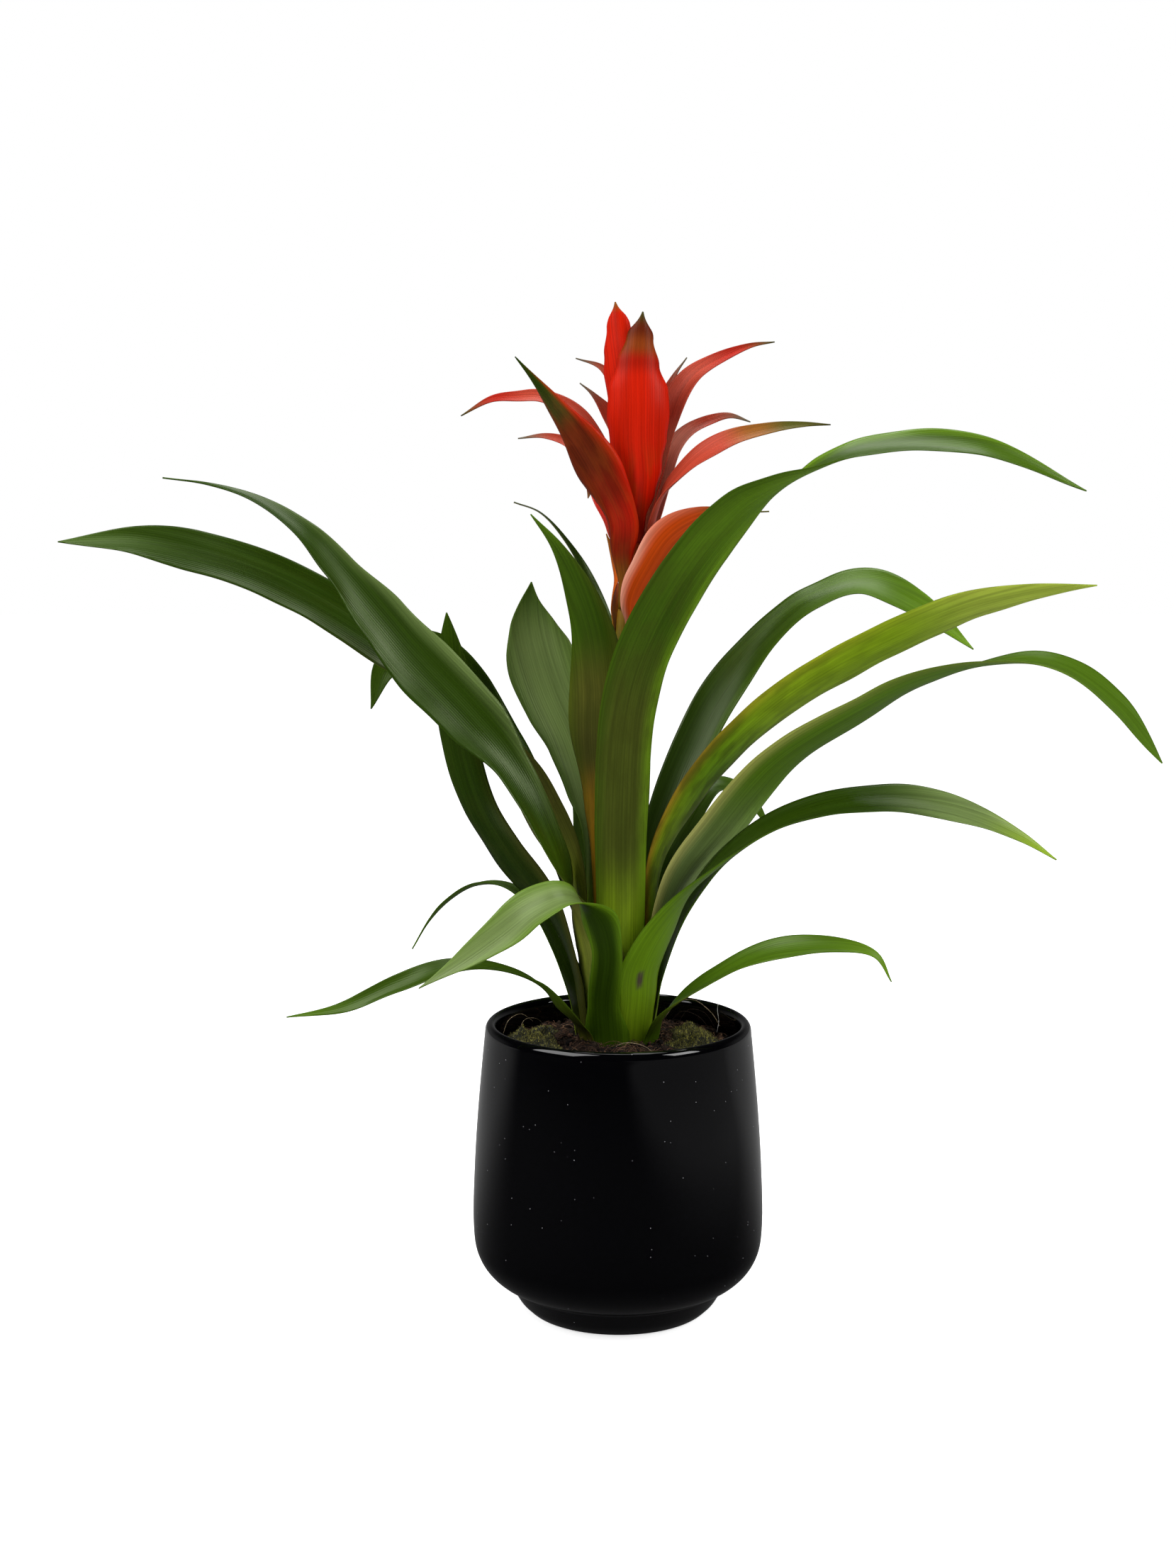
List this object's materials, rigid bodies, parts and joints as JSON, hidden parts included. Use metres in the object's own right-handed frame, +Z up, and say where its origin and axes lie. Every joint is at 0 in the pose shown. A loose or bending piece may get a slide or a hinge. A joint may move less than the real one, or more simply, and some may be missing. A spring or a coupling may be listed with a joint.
{
  "type": "potted guzmania",
  "caption": "Bromeliad houseplant: a rosette of arching strap leaves round one stalk with a head of red bracts, planted in soil in a round glazed pot.",
  "frame": {"origin": "centre of the pot's foot, on the surface that it stands on", "axes": "+Z up the stalk; the plant is seen from the front along +Y, with +X to the right"},
  "size_m": [0.5345, 0.2879, 0.4981],
  "materials": {
    "pot": "gloss black glaze",
    "soil": "crumbly peat and fibre",
    "moss": "matte moss",
    "stem": "smooth green stalk",
    "leaf": "smooth leathery leaf, glossy above",
    "bract": "smooth waxy bract"
  },
  "bodies": {
    "root": {"pot": "pot", "soil": "soil", "stem": "stem", "moss_left": "moss", "moss_right": "moss", "moss_behind": "moss", "leaf_front_tall": "leaf", "leaf_right_hooked": "leaf", "leaf_right_pale": "leaf", "leaf_right_long": "leaf", "leaf_right_low": "leaf", "leaf_right_short": "leaf", "leaf_right_sheath": "leaf", "leaf_right_behind": "leaf", "leaf_left_glossy": "leaf", "leaf_left_far": "leaf", "leaf_left_hanging": "leaf", "leaf_left_dark": "leaf", "leaf_left_broad": "leaf", "leaf_left_upright": "leaf", "leaf_left_narrow": "leaf", "leaf_left_small": "leaf", "leaf_left_lowest": "leaf", "leaf_front_folded": "leaf", "leaf_back_tall": "leaf", "leaf_back_left": "leaf", "leaf_back_right": "leaf", "leaf_back_low": "leaf", "bract_front_left": "bract", "bract_lower_right": "bract", "bract_lower_left": "bract", "bract_cone_front": "bract", "bract_cone_left": "bract", "bract_cone_right": "bract", "bract_cone_back": "bract", "bract_right_high": "bract", "bract_right_long": "bract", "bract_right_curled": "bract", "bract_right_small": "bract", "bract_left_long": "bract", "bract_left_curled": "bract", "bract_left_high": "bract", "bract_left_thin": "bract", "bract_back_right": "bract", "bract_back": "bract"}
  },
  "joints": []
}
